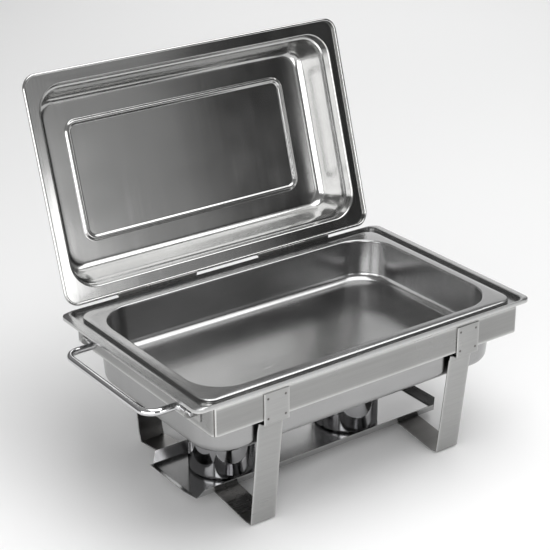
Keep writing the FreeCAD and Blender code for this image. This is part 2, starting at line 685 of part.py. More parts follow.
# Lid handle: a bent rod whose ends stand on two round plates welded to the panel.
for label, sign in (("lid_handle_plate_left", -1), ("lid_handle_plate_right", 1)):
    spot = FreeCAD.Vector(number(signed(sign, "bow_span / 2")), 0, number("lid_depth"))
    on_panel = lid_place.multiply(FreeCAD.Placement(spot, FreeCAD.Rotation()))
    nodes.append(laid("Part::Cylinder", label, on_panel, Radius="plate_radius", Height="plate_sheet"))
BOW_FOOT = "lid_depth + plate_sheet"
bow = new_body("lid_handle")
bow_path = new_sketch(bow, "XZ_Plane")
add_bow_path(bow_path, "bow_span", BOW_FOOT, f"{BOW_FOOT} + bow_rise", "bow_bend")
bow_section = new_sketch(bow, "XY_Plane", BOW_FOOT)
add_circle(bow_section, "-bow_span / 2", "0", "bow_rod")
sweep(bow, bow_section, bow_path)
bow.Placement = lid_place
nodes.append(bow)

# --- Burners -------------------------------------------------------------------------------

CUP_FOOT = f"{TRAY_UNDER} + tray_sheet + seat_gap"
CUP_TOP = f"{CUP_FOOT} + cup_height"


def burner(side, centre):
    """A fuel cup with its collar, and a snuffer cover that swings on a rivet."""
    wall = cylinder(f"cup_{side}_wall", "cup_radius", "cup_height", centre, "0", CUP_FOOT)
    inside = cylinder(f"cup_{side}_inside", "cup_radius - cup_sheet", "cup_height",
                      centre, "0", f"{CUP_FOOT} + cup_sheet")
    nodes.append(cut(f"burner_cup_{side}", wall, inside))

    top = cylinder(f"ring_{side}_top", "cup_radius + ring_overhang", "ring_sheet", centre, "0", CUP_TOP)
    skirt = cylinder(f"ring_{side}_skirt", "cup_radius - cup_sheet - edge_clearance", "ring_skirt",
                     centre, "0", f"{CUP_TOP} - ring_skirt")
    bore = cylinder(f"ring_{side}_bore", "cup_radius - 2 * cup_sheet - edge_clearance", "ring_skirt",
                    centre, "0", f"{CUP_TOP} - ring_skirt")
    flame = cylinder(f"ring_{side}_flame", "flame_hole", "ring_sheet + 2 * overcut",
                     centre, "0", f"{CUP_TOP} - overcut")
    rivet_hole = cylinder(f"ring_{side}_rivet_hole", "rivet_radius", "ring_sheet + 2 * overcut",
                          centre, "rivet_offset", f"{CUP_TOP} - overcut")
    collar = fuse(f"ring_{side}_collar", [top, cut(f"ring_{side}_sleeve", skirt, bore)])
    nodes.append(cut(f"burner_collar_{side}", collar, fuse(f"ring_{side}_holes", [flame, rivet_hole])))

    cover_z = f"{CUP_TOP} + ring_sheet + seat_gap"
    disc = cylinder(f"cover_{side}_disc", "snuffer_radius", "snuffer_sheet", centre, "0", cover_z)
    arm = box(f"cover_{side}_arm", "arm_width", "rivet_offset", "snuffer_sheet",
              f"{centre} - arm_width / 2", "0", cover_z)
    eye = cylinder(f"cover_{side}_eye", "arm_width / 2", "snuffer_sheet", centre, "rivet_offset", cover_z)
    knob = cylinder(f"cover_{side}_knob", "knob_radius", "knob_height", centre, "-knob_offset", cover_z)
    eye_hole = cylinder(f"cover_{side}_eye_hole", "rivet_radius + pivot_clearance",
                        "snuffer_sheet + 2 * overcut", centre, "rivet_offset", f"{cover_z} - overcut")
    blank = fuse(f"cover_{side}_blank", [disc, arm, eye, knob])
    nodes.append(cut(f"snuffer_{side}", blank, eye_hole))

    shank = cylinder(f"rivet_{side}_shank", "rivet_radius", "ring_sheet + snuffer_sheet + 2 * seat_gap",
                     centre, "rivet_offset", CUP_TOP)
    head = cylinder(f"rivet_{side}_head", "rivet_head", "ring_sheet", centre, "rivet_offset",
                    f"{cover_z} + snuffer_sheet + seat_gap")
    foot = cylinder(f"rivet_{side}_foot", "rivet_head", "ring_sheet", centre, "rivet_offset",
                    f"{CUP_TOP} - ring_sheet")
    nodes.append(fuse(f"snuffer_rivet_{side}", [shank, head, foot]))


burner("left", "left_cup_x")
burner("right", "right_cup_x")

# --- Check and write -----------------------------------------------------------------------

doc.recompute()
failed = [f"{thing.Label}: {thing.State}" for thing in doc.Objects
          if "Invalid" in thing.State or "Error" in thing.State]
for node in nodes:
    if node.Shape.isNull() or not node.Shape.isValid():
        failed.append(f"{node.Label}: no valid shape")
if failed:
    raise RuntimeError("; ".join(failed))

os.makedirs("parts", exist_ok=True)
for node in nodes:
    node.Shape.exportStep(f"parts/{node.Label}.step")
    print(f"{node.Label:28s} {node.Shape.Volume / 1000:9.2f} cm3  {len(node.Shape.Solids)} solid")
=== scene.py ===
import json
import math

import bpy
import numpy as np
from mathutils import Matrix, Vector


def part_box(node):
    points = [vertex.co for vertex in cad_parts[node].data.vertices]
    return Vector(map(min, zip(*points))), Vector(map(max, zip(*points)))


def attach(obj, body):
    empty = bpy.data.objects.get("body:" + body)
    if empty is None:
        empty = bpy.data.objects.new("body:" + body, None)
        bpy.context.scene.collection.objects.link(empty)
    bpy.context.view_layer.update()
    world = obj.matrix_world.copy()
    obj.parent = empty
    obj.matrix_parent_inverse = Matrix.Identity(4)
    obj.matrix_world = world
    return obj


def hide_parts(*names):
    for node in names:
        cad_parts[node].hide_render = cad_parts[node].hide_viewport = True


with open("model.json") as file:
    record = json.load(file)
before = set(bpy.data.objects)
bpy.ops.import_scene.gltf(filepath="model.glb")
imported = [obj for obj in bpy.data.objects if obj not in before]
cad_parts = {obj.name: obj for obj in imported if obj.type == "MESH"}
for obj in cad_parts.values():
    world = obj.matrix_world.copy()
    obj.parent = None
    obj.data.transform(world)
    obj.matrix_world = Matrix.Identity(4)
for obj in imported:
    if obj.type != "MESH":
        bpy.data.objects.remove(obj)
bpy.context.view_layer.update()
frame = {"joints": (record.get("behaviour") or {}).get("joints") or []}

# --- Apron band ----------------------------------------------------------------------------
# One long strip of 1.2 mm stainless sheet, bent at four corners and welded into a ring. At the front
# left corner a dark line with a bright strip beside it is painted into the colour: a painted
# reflection of dark and bright surroundings in the rounded corner.
# The water pan's ledge stands on its top edge; legs, brackets and lid holders are welded to it.


def bent_line(corners, radii, steps=8):
    """Straight runs through the corners, each inner corner swapped for an arc that touches both runs.

    The arc starts radius * tan(turn / 2) before the corner, and its points are the start's spoke
    turned about the centre by equal parts of the turn.
    """
    corners = np.asarray(corners, float)
    pieces = [corners[:1]]
    for before, corner, after, radius in zip(corners[:-2], corners[1:-1], corners[2:], radii):
        way_in = (corner - before) / np.linalg.norm(corner - before)
        way_out = (after - corner) / np.linalg.norm(after - corner)
        turn = math.atan2(way_in[0] * way_out[1] - way_in[1] * way_out[0], way_in @ way_out)
        start = corner - radius * math.tan(abs(turn) / 2) * way_in
        spoke = math.copysign(radius, turn) * np.array([way_in[1], -way_in[0]])
        angle = np.linspace(0, turn, steps + 1)[:, None]
        turned = np.cos(angle) * spoke + np.sin(angle) * np.array([-spoke[1], spoke[0]])
        pieces.append(start - spoke + turned)
    pieces.append(corners[-1:])
    return np.concatenate(pieces)


def distance_along(points):
    """Length of the line of points up to each of them."""
    runs = np.linalg.norm(np.diff(points, axis=0), axis=1)
    return np.concatenate([[0], np.cumsum(runs)])


def finer(line, step):
    """The same line with points added so that no run is longer than the step."""
    along = distance_along(line)
    wanted = np.union1d(along, np.arange(0, along[-1], step))
    wanted = wanted[np.concatenate([[True], np.diff(wanted) > step * 0.05])]
    return np.stack([np.interp(wanted, along, axis) for axis in line.T], -1)


def side_of(line):
    """Unit vectors square to the line, on its left: the central difference turned a quarter."""
    forward = np.gradient(line, axis=0)
    forward /= np.linalg.norm(forward, axis=1, keepdims=True)
    return np.stack([-forward[:, 1], forward[:, 0]], -1)


def sheet_section(line, sheet, round_ends=(True, True), steps=4, fade=0.0015):
    """Both faces of a bent sheet and how near each point is to a cut edge.

    The faces are the line moved half a sheet to either side, and a half circle joins them at a cut end.
    Where the line runs on to the middle of a pan, the points start and end there.
    The nearness is e to the power of minus the distance over the fade.
    """
    side = side_of(line) * sheet / 2
    along = distance_along(line)
    from_cut = np.full(len(line), np.inf)
    if round_ends[0]:
        from_cut = np.minimum(from_cut, along)
    if round_ends[1]:
        from_cut = np.minimum(from_cut, along[-1] - along)
    angle = np.linspace(0, math.pi, steps + 1)[1:-1, None]
    onward = np.stack([side[:, 1], -side[:, 0]], -1)
    left, right = line + side, (line - side)[::-1]
    far_cap = line[-1] + np.cos(angle) * side[-1] + np.sin(angle) * onward[-1]
    near_cap = line[0] - np.cos(angle) * side[0] - np.sin(angle) * onward[0]
    turns = [(left, from_cut)]
    turns += [(far_cap, np.zeros(len(far_cap)))] if round_ends[1] else []
    turns += [(right, from_cut[::-1])]
    turns += [(near_cap, np.zeros(len(near_cap)))] if round_ends[0] else []
    if not round_ends[1]:
        turns = turns[1:] + turns[:1]
    loop, cut = zip(*turns)
    return np.concatenate(loop), np.exp(-np.concatenate(cut) / fade)


def carry_round(section, outlines, corner_steps=10, side_steps=12):
    """Carry a section of (inset, height) points round a rectangle with round corners.

    Each point's length, width and corner radius are read off the outlines by its inset.
    A corner's points are its centre plus the radius times (cos, sin); the sides are straight between.
    """
    inset, height = section.T
    knots = np.asarray(outlines, float)
    length, width, corner = (np.interp(inset, knots[:, 0], column) for column in knots.T[1:])
    half_x, half_y = length / 2, width / 2
    quarter = np.linspace(0, math.pi / 2, corner_steps + 1)
    angle = quarter + np.arange(4)[:, None] * math.pi / 2
    sign = np.array([[1, 1], [-1, 1], [-1, -1], [1, -1]])
    centre = np.stack([half_x - corner, half_y - corner], -1)[:, None, None] * sign[:, None]
    spoke = np.stack([np.cos(angle), np.sin(angle)], -1)
    arcs = centre + corner[:, None, None, None] * spoke
    share = (np.arange(1, side_steps) / side_steps)[:, None]
    sides = arcs[:, :, -1:] * (1 - share) + np.roll(arcs[:, :, :1], -1, axis=1) * share
    ring = np.concatenate([arcs, sides], axis=2).reshape(len(section), -1, 2)
    level = np.broadcast_to(height[:, None, None], ring.shape[:2] + (1,))
    return np.concatenate([ring, level], -1)


def shell(grid, rings_close=False, edge=0.0, spot=0.0, blank=None):
    """Faces over a grid of points, ring by ring, with a flat face on each open end.

    A face joins four neighbours. Its UV is the distance round the ring and along the rings, or the
    point's place in the flat blank that a pan is drawn from, in metres.
    The faces are turned over when the sum of their volumes to the origin is negative.
    """
    rings, around = grid.shape[:2]
    index = np.arange(rings * around).reshape(rings, around)
    index = np.vstack([index, index[:1]]) if rings_close else index
    index = np.hstack([index, index[:, :1]])
    points = grid.reshape(-1, 3)
    flat = points[:, :2] if blank is None else blank.reshape(-1, 2)
    u = distance_along(points[index[rings // 2]])
    v = distance_along(points[index[:, 0]])
    corners = [(slice(None, -1), slice(None, -1)), (slice(1, None), slice(None, -1)),
               (slice(1, None), slice(1, None)), (slice(None, -1), slice(1, None))]
    quads = np.stack([index[corner] for corner in corners], -1).reshape(-1, 4)
    spread = np.stack(np.meshgrid(u, v), -1) if blank is None else flat[index]
    quad_uv = np.stack([spread[corner] for corner in corners], 2).reshape(-1, 4, 2)
    caps = [] if rings_close else [index[0, :-1], index[-1, :-1][::-1]]
    volume = 0
    for facets in [quads] + [cap[None] for cap in caps]:
        loop = points[facets]
        area = np.cross(loop, points[np.roll(facets, -1, axis=-1)]).sum(1)
        volume += np.sum(area * loop.mean(1))
    faces = list(quads) + caps
    uvs = list(quad_uv) + [flat[cap] for cap in caps]
    if volume < 0:
        faces = [face[::-1] for face in faces]
        uvs = [uv[::-1] for uv in uvs]
    marks = [np.broadcast_to(np.asarray(mark, float), grid.shape[:2]).ravel() for mark in (edge, spot)]
    return points, faces, uvs, marks


def piece(name, shells, material):
    """One object from closed shells, smooth but for its sharp turns, with its sheet UV and marks."""
    points, faces, uvs, edge, spot, start = [], [], [], [], [], 0
    for shell_points, shell_faces, shell_uvs, (shell_edge, shell_tint_and_shade) in shells:
        points.append(shell_points)
        faces += [(face + start).tolist() for face in shell_faces]
        uvs += shell_uvs
        edge.append(shell_edge)
        spot.append(shell_tint_and_shade)
        start += len(shell_points)
    mesh = bpy.data.meshes.new(name)
    mesh.from_pydata(np.concatenate(points).tolist(), [], faces)
    layer = mesh.uv_layers.new(name="sheet")
    layer.data.foreach_set("uv", np.concatenate(uvs).astype(np.float32).ravel())
    for label, marks in (("edge", edge), ("spot", spot)):
        attribute = mesh.attributes.new(label, "FLOAT", "POINT")
        attribute.data.foreach_set("value", np.concatenate(marks).astype(np.float32))
    mesh.shade_smooth()
    mesh.set_sharp_from_angle(angle=math.radians(40))
    mesh.materials.append(material)
    made = bpy.data.objects.new(name, mesh)
    bpy.context.scene.collection.objects.link(made)
    even = made.modifiers.new("even shading", "WEIGHTED_NORMAL")
    even.keep_sharp = True
    return made


def fit(made, body, slot, *nodes):
    """The piece rides on its body and stands for its CAD nodes, which it hides; the slot is not used.
    """
    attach(made, body)
    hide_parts(*nodes)


def node(tree, kind, place, inputs=None, **properties):
    """A shader node at its place in the editor, with its properties and its inputs' values set."""
    made = tree.nodes.new(kind)
    made.location = place
    for name, value in properties.items():
        setattr(made, name, value)
    for name, value in (inputs or {}).items():
        made.inputs[name].default_value = value
    return made


def blend_tones(ramp, positions, tones):
    """A ramp node's two stops: a position and a tone for each."""
    for stop, position, tone in zip(ramp.color_ramp.elements, positions, tones):
        stop.position = position
        stop.color = (*tone, 1)


# A mix node's sockets go by number: its two values and the one out, its two colours and the one out.
value_a, value_b, value_out = 2, 3, 0
colour_a, colour_b, colour_out = 6, 7, 2


def steel(name, tone, roughness, grain, streaks, anisotropy, smudge=0.1, bump=0.1):
    """Stainless steel with the marks of its last polish.

    Fine and broad noise, drawn out along the sheet's UV, gives the grain its tone, gloss and relief.
    Slow noise on the object gives the smudges of wiping. The cut edges are a little brighter, partly
    polish and partly a painted highlight. The dark mark darkens the colour: weld tint, painted shade
    and painted reflection, where each piece puts it.
    """
    material = bpy.data.materials.new(name)
    material.use_nodes = True
    tree = material.node_tree
    shader = tree.nodes["Principled BSDF"]
    link = tree.links.new
    sheet = node(tree, "ShaderNodeUVMap", (-1500, 200), uv_map="sheet")
    place = node(tree, "ShaderNodeTexCoord", (-1500, -300))
    fine_map = node(tree, "ShaderNodeMapping", (-1300, 300), {"Scale": (grain / 90, grain, 1)})
    broad_map = node(tree, "ShaderNodeMapping", (-1300, 0), {"Scale": (grain / 900, grain / 14, 1)})
    fine = node(tree, "ShaderNodeTexNoise", (-1100, 300), {"Scale": 1, "Detail": 3, "Roughness": 0.6})
    broad = node(tree, "ShaderNodeTexNoise", (-1100, 0), {"Scale": 1, "Detail": 4, "Roughness": 0.6})
    cloud = node(tree, "ShaderNodeTexNoise", (-1100, -300), {"Scale": 9, "Detail": 2, "Roughness": 0.6})
    link(sheet.outputs["UV"], fine_map.inputs["Vector"])
    link(sheet.outputs["UV"], broad_map.inputs["Vector"])
    link(fine_map.outputs["Vector"], fine.inputs["Vector"])
    link(broad_map.outputs["Vector"], broad.inputs["Vector"])
    link(place.outputs["Object"], cloud.inputs["Vector"])
    grain_sum = node(tree, "ShaderNodeMix", (-850, 200), {"Factor": 0.45}, data_type="FLOAT")
    link(fine.outputs["Fac"], grain_sum.inputs[value_a])
    link(broad.outputs["Fac"], grain_sum.inputs[value_b])

    colour = node(tree, "ShaderNodeValToRGB", (-600, 300))
    darker = [part * (1 - streaks) for part in tone]
    lighter = [min(1, part * (1 + streaks)) for part in tone]
    blend_tones(colour, (0.3, 0.7), (darker, lighter))
    link(grain_sum.outputs[value_out], colour.inputs["Fac"])
    # The edge mark lifts the colour towards light grey: partly the polish of cut edges, partly a
    # painted highlight on them.
    edge = node(tree, "ShaderNodeAttribute", (-850, 550), attribute_name="edge")
    edge_polish_and_highlight_strength = 0.55
    edge_polish_and_highlight = node(tree, "ShaderNodeMath", (-600, 550), {1: edge_polish_and_highlight_strength}, operation="MULTIPLY")
    bright = node(tree, "ShaderNodeMix", (-300, 350), data_type="RGBA")
    bright.inputs[colour_b].default_value = (0.82, 0.82, 0.81, 1)
    link(edge.outputs["Fac"], edge_polish_and_highlight.inputs[0])
    link(edge_polish_and_highlight.outputs[0], bright.inputs["Factor"])
    link(colour.outputs["Color"], bright.inputs[colour_a])
    # This mark darkens the colour: weld tint at the welds, painted shade on the straps' inner faces,
    # and a painted dark reflection on the band's corner.
    spot = node(tree, "ShaderNodeAttribute", (-850, 750), attribute_name="spot")
    tint_and_shade_mix = node(tree, "ShaderNodeMix", (-100, 350), data_type="RGBA")
    tint_and_shade_mix.inputs[colour_b].default_value = (0.06, 0.05, 0.045, 1)
    link(spot.outputs["Fac"], tint_and_shade_mix.inputs["Factor"])
    link(bright.outputs[colour_out], tint_and_shade_mix.inputs[colour_a])
    link(tint_and_shade_mix.outputs[colour_out], shader.inputs["Base Color"])

    gloss_range = {"To Min": roughness * 0.75, "To Max": roughness * 1.25}
    gloss = node(tree, "ShaderNodeMapRange", (-600, -50), gloss_range)
    link(grain_sum.outputs[value_out], gloss.inputs["Value"])
    wiped_range = {"From Min": 0.35, "From Max": 0.7, "To Min": -smudge * 0.5, "To Max": smudge}
    wiped = node(tree, "ShaderNodeMapRange", (-600, -350), wiped_range)
    link(cloud.outputs["Fac"], wiped.inputs["Value"])
    rough = node(tree, "ShaderNodeMath", (-300, -150), operation="ADD", use_clamp=True)
    link(gloss.outputs["Result"], rough.inputs[0])
    link(wiped.outputs["Result"], rough.inputs[1])
    link(rough.outputs[0], shader.inputs["Roughness"])

    relief = node(tree, "ShaderNodeBump", (-300, -450), {"Strength": bump, "Distance": 0.0002})
    link(grain_sum.outputs[value_out], relief.inputs["Height"])
    link(relief.outputs["Normal"], shader.inputs["Normal"])
    shader.inputs["Metallic"].default_value = 1
    shader.inputs["Anisotropic"].default_value = anisotropy
    shader.inputs["Anisotropic Rotation"].default_value = 0.25
    if anisotropy:
        tangent = node(tree, "ShaderNodeTangent", (-300, -700), direction_type="UV_MAP", uv_map="sheet")
        link(tangent.outputs["Tangent"], shader.inputs["Tangent"])
    return material


low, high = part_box("frame_band")
band_sheet, band_corner = 0.0012, 0.008
band_size = high - low
band_steel = steel("brushed band steel", (0.31, 0.31, 0.305), 0.30, 2600, 0.09, 0.5)
band_line = np.array([(band_sheet / 2, low.z), (band_sheet / 2, high.z)])
band_section, band_edge = sheet_section(finer(band_line, 0.004), band_sheet)
band_outlines = [
    (0, band_size.x, band_size.y, band_corner),
    (band_sheet, band_size.x - 2 * band_sheet, band_size.y - 2 * band_sheet, band_corner - band_sheet),
]
corner_steps, side_steps = 24, 40
band_grid = carry_round(band_section, band_outlines, corner_steps, side_steps)
# The columns go round from the rear right corner by way of the left, so the front left one is third.
# The front left corner's dark line and the bright strip beside it are a painted reflection of dark and
# bright surroundings.
corners_before, dark_reflection_half, bright_reflection_end = 2, 2, 6
reflection_column = corners_before * (corner_steps + side_steps) + corner_steps // 2
past_reflection = np.arange(band_grid.shape[1]) - reflection_column
painted_dark_reflection = np.broadcast_to(np.where(np.abs(past_reflection) < dark_reflection_half, 0.8, 0), band_grid.shape[:2])
reflection_strip_and_edges = np.where((past_reflection >= dark_reflection_half) & (past_reflection < bright_reflection_end), 1, band_edge[:, None])
band = piece("apron_band", [shell(band_grid, True, reflection_strip_and_edges, painted_dark_reflection)], band_steel)
fit(band, "stand", "stand_steel", "frame_band")

# --- Leg straps ----------------------------------------------------------------------------
# Two flat bars, 40 by 2 mm, each bent into a U that steps in below the band and runs on as the
# floor bar. Four spot welds hold each upright end to the band, and leave small burnt dimples. The
# inner face is darkened in its colour: painted shade, for the dark under the pan that it faces.


def bar_section(width, sheet, edge, across=40, steps=3):
    """A flat bar's section: two faces of many even points, and a quarter circle at each corner.

    A quarter circle's centre lies one edge radius in from both faces.
    """
    reach, rise = width / 2 - edge, sheet / 2 - edge
    quarter = np.linspace(0, math.pi / 2, steps + 1)
    sides = []
    for turn, (x, y) in enumerate([(1, -1), (1, 1), (-1, 1), (-1, -1)]):
        angle = quarter + (turn - 1) * math.pi / 2
        sides.append(np.stack([x * reach + edge * np.cos(angle), y * rise + edge * np.sin(angle)], -1))
    face = np.linspace(reach, -reach, across + 1)[1:-1]
    upper = np.stack([face, np.full(len(face), sheet / 2)], -1)
    lower = -upper
    return np.concatenate([sides[0], sides[1], upper, sides[2], sides[3], lower])


strap_sheet, strap_edge = 0.002, 0.0006
tab_foot, step_in, step_drop = 0.170, 0.014, 0.003
foot_y, foot_z, floor_bar_y, floor_bar_z = 0.143, 0.00036, 0.062, 0.011
step_bend, foot_bend, floor_bar_bend = 0.0022, 0.0028, 0.020
weld_across, weld_levels, weld_radius, weld_depth = 0.014, (0.208, 0.179), 0.0017, 0.0004
# The inner face's darkening is painted shade; the lift at the bar's edges is partly a painted
# highlight.
painted_inner_shade, edge_polish_and_highlight_reach = 0.5, 0.0012
weld_step, plain_step = 0.0009, 0.012
strap_steel = steel("brushed strap steel", (0.38, 0.38, 0.375), 0.30, 2400, 0.10, 0.5)
for side in ("left", "right"):
    low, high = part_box(f"leg_strap_{side}")
    face = high.y - strap_sheet / 2
    half = [
        (face, high.z),
        (face, tab_foot),
        (face - step_in, tab_foot - step_drop),
        (foot_y, foot_z),
        (floor_bar_y, floor_bar_z),
    ]
    corners = [(-y, z) for y, z in half] + half[::-1]
    half_bends = [step_bend, step_bend, foot_bend, floor_bar_bend]
    line = bent_line(corners, half_bends + half_bends[::-1])
    tab = line[:, 1] > tab_foot + strap_sheet / 2
    first, last = np.argmax(~tab), len(tab) - np.argmax(~tab[::-1])
    line = np.concatenate([
        finer(line[:first + 1], weld_step),
        finer(line[first + 1:last - 1], plain_step),
        finer(line[last - 1:], weld_step),
    ])
    section = bar_section(high.x - low.x, strap_sheet, strap_edge)
    across, out = section.T
    outward = -side_of(line)
    outward = outward if outward[0, 0] < 0 else -outward
    weld = np.zeros((len(line), len(section)))
    for sign in (-1, 1):
        for level in weld_levels:
            gap = np.hypot(line[:, 1:2] - level, across - sign * weld_across)
            weld += np.exp(-(gap / weld_radius) ** 4)
    weld *= (out > strap_sheet / 2 - 0.0001) * (np.abs(line[:, :1]) > face - 0.001)
    depth = out - weld_depth * weld
    spread = line[:, None] + depth[:, :, None] * outward[:, None]
    middle = (low.x + high.x) / 2
    grid = np.concatenate([np.broadcast_to(middle + across, depth.shape)[..., None], spread], -1)
    # The bar's long edges are lifted in colour: partly polish, partly a painted highlight.
    edge_polish_and_highlight = np.exp(-(high.x - middle - np.abs(across)) / edge_polish_and_highlight_reach)
    # The inner face is darkened as painted shade; the weld dimples keep their own tint.
    weld_tint_and_inner_shade = np.maximum(weld, np.where(out < 0, painted_inner_shade, 0))
    strap = piece(f"strap_{side}", [shell(grid, False, edge_polish_and_highlight, weld_tint_and_inner_shade)], strap_steel)
    fit(strap, "stand", "stand_steel", f"leg_strap_{side}")

# --- Lid holders ---------------------------------------------------------------------------
# Two folded channels of 1.2 mm sheet, welded on the rear of the band and notched round the strap
# ends. The lid's rolled edge turns in the round trough, and the back stop carries the open lid.
lid_turn = next(joint for joint in frame["joints"] if joint["name"] == "lid_turn")
hinge_y, hinge_z = lid_turn["pos_m"][1:]
lean = math.radians(-lid_turn["range_deg"][0] - 90)
holder_sheet, trough = 0.0012, 0.0032
notch_gap, notch_above = 0.0003, 0.0019
for side in ("left", "right"):
    low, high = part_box(f"lid_holder_{side}")
    angle = np.linspace(math.pi, 2 * math.pi - lean, 19)
    bowl = np.stack([hinge_y + trough * np.cos(angle), hinge_z + trough * np.sin(angle)], -1)
    stop = bowl[-1] + (high.z - bowl[-1, 1]) * np.array([math.tan(lean), 1])
    line = np.concatenate([[(bowl[0, 0], low.z)], bowl, [stop]])
    loop, edge = sheet_section(finer(line, 0.003), holder_sheet)
    strap_low, strap_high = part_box(f"leg_strap_{side}")
    notch = strap_low.x - notch_gap, strap_high.x + notch_gap
    notch_walls = [notch[0] - 0.0001, notch[0], notch[1], notch[1] + 0.0001]
    run = np.union1d(np.linspace(low.x, high.x, 30), notch_walls)
    grid = np.empty((len(run), len(loop), 3))
    grid[..., 0] = run[:, None]
    grid[..., 1:] = loop
    lift = (hinge_z - strap_high.z - notch_above) / (hinge_z - low.z)
    cut = (run >= notch[0]) & (run <= notch[1])
    under = cut[:, None] & (grid[..., 2] < hinge_z)
    grid[..., 2] = np.where(under, hinge_z - (hinge_z - grid[..., 2]) * lift, grid[..., 2])
    holder = piece(f"holder_{side}", [shell(grid, False, edge)], band_steel)
    fit(holder, "stand", "stand_steel", f"lid_holder_{side}")

# --- Handle brackets -----------------------------------------------------------------------
# Four small pressings of stainless sheet: a foot welded on the end of the band, and an ear with a
# round eye that the handle's pivot turns in.


def blunt_plate(outer, inner, sheet, edge):
    """A plate between two loops of the same number of points, its edges cut back by the edge radius.

    The section runs up the inner wall, across the top, down the outer wall and back below.
    """
    gap = outer - inner
    gap /= np.linalg.norm(gap, axis=1, keepdims=True)
    quarter = np.linspace(0, math.pi / 2, 4)
    level = sheet / 2 - edge + edge * np.sin(quarter)
    back = edge - edge * np.cos(quarter)
    steps = [(inner + cut * gap, z) for cut, z in zip(back, level)]
    steps += [(outer - cut * gap, z) for cut, z in zip(back[::-1], level[::-1])]
    steps += [(outer - cut * gap, -z) for cut, z in zip(back, level)]
    steps += [(inner + cut * gap, -z) for cut, z in zip(back[::-1], level[::-1])]
    return np.stack([np.column_stack([loop, np.full(len(loop), z)]) for loop, z in steps])


def blunt_block(size, edge, corner):
    """A block about the origin with a corner radius and edges rounded by a quarter circle."""
    quarter = np.linspace(0, math.pi / 2, 4)
    back = edge - edge * np.sin(quarter)
    level = size[2] / 2 - edge + edge * np.cos(quarter)
    section = np.concatenate([np.stack([back, -level], -1), np.stack([back, level], -1)[::-1]])
    outlines = [
        (0, size[0], size[1], corner),
        (edge, size[0] - 2 * edge, size[1] - 2 * edge, corner - edge),
    ]
    return carry_round(section, outlines, corner_steps=5, side_steps=2)


pivot = next(joint for joint in frame["joints"] if joint["name"] == "handle_right_fold")["pos_m"]
pivot_x, pivot_z = pivot[0], pivot[2]
band_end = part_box("frame_band")[1].x
eye_radius, eye_hole, ear_sheet, foot_sheet = 0.008, 0.00308, 0.002, 0.0015
foot_corner, bracket_edge = 0.003, 0.0004
square_corners = [-0.75 * math.pi, 0.75 * math.pi]
angle = np.union1d(np.linspace(-math.pi, math.pi, 64, endpoint=False), square_corners)
toward = np.stack([np.cos(angle), np.sin(angle)], -1)
square = eye_radius / np.maximum(np.abs(toward[:, 0]), np.abs(toward[:, 1]))
eye_outer = toward * np.where(toward[:, 0] < 0, square, eye_radius)[:, None]
ear = blunt_plate(eye_outer, toward * eye_hole, ear_sheet, bracket_edge)
for end, end_name in ((-1, "left"), (1, "right")):
    for side, side_name in ((-1, "front"), (1, "rear")):
        low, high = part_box(f"handle_bracket_{end_name}_{side_name}")
        foot = blunt_block((high.z - low.z, high.y - low.y, foot_sheet), bracket_edge, foot_corner)
        foot_place = end * (band_end + foot_sheet / 2), (low.y + high.y) / 2, pivot_z
        foot_grid = foot[..., ::-1] + foot_place
        ear_y = low.y + ear_sheet / 2 if side > 0 else high.y - ear_sheet / 2
        ear_x = end * (pivot_x + ear[..., 0])
        ear_grid = np.stack([ear_x, ear_y + ear[..., 2], pivot_z + ear[..., 1]], -1)
        bracket = piece(f"bracket_{end_name}_{side_name}",
                        [shell(foot_grid), shell(ear_grid, True)], strap_steel)
        fit(bracket, "stand", "stand_steel", f"handle_bracket_{end_name}_{side_name}")

# --- End handles ---------------------------------------------------------------------------
# A 10 mm rod at each end, bent into a bow and bright polished. Its ends are turned down to 6 mm
# pivots that sit in the bracket eyes, so that the handle can drop down beside the band.


def rod_along(line, radius, axes, around=32):
    """A round rod along a line that lies in the plane of the first two axes.

    A ring's point is the line's point plus the radius times (cos * side + sin * third axis).
    """
    side = side_of(line)
    first, second, third = (np.asarray(axis, float) for axis in axes)
    angle = np.linspace(0, 2 * math.pi, around, endpoint=False)
    centre = line[:, :1] * first + line[:, 1:] * second
    side = side[:, :1] * first + side[:, 1:] * second
    turned = np.cos(angle)[:, None] * side[:, None] + np.sin(angle)[:, None] * third
    return centre[:, None] + np.broadcast_to(radius, len(line))[:, None, None] * turned


def blunted(line, radius, edge):
    """The line with close points at both ends, and its radius, cut back there by a quarter circle."""
    quarter = np.linspace(0, math.pi / 2, 5)[:-1]
    start = edge * (1 - np.cos(quarter))
    along = distance_along(line)
    inside = (along > edge) & (along < along[-1] - edge)
    wanted = np.concatenate([start, along[inside], along[-1] - start[::-1]])
    path = np.stack([np.interp(wanted, along, axis) for axis in line.T], -1)
    thickness = np.broadcast_to(radius, len(line))
    cut = np.concatenate([edge * (1 - np.sin(quarter)), np.zeros(inside.sum()),
                          edge * (1 - np.sin(quarter[::-1]))])
    return path, np.interp(wanted, along, thickness) - cut


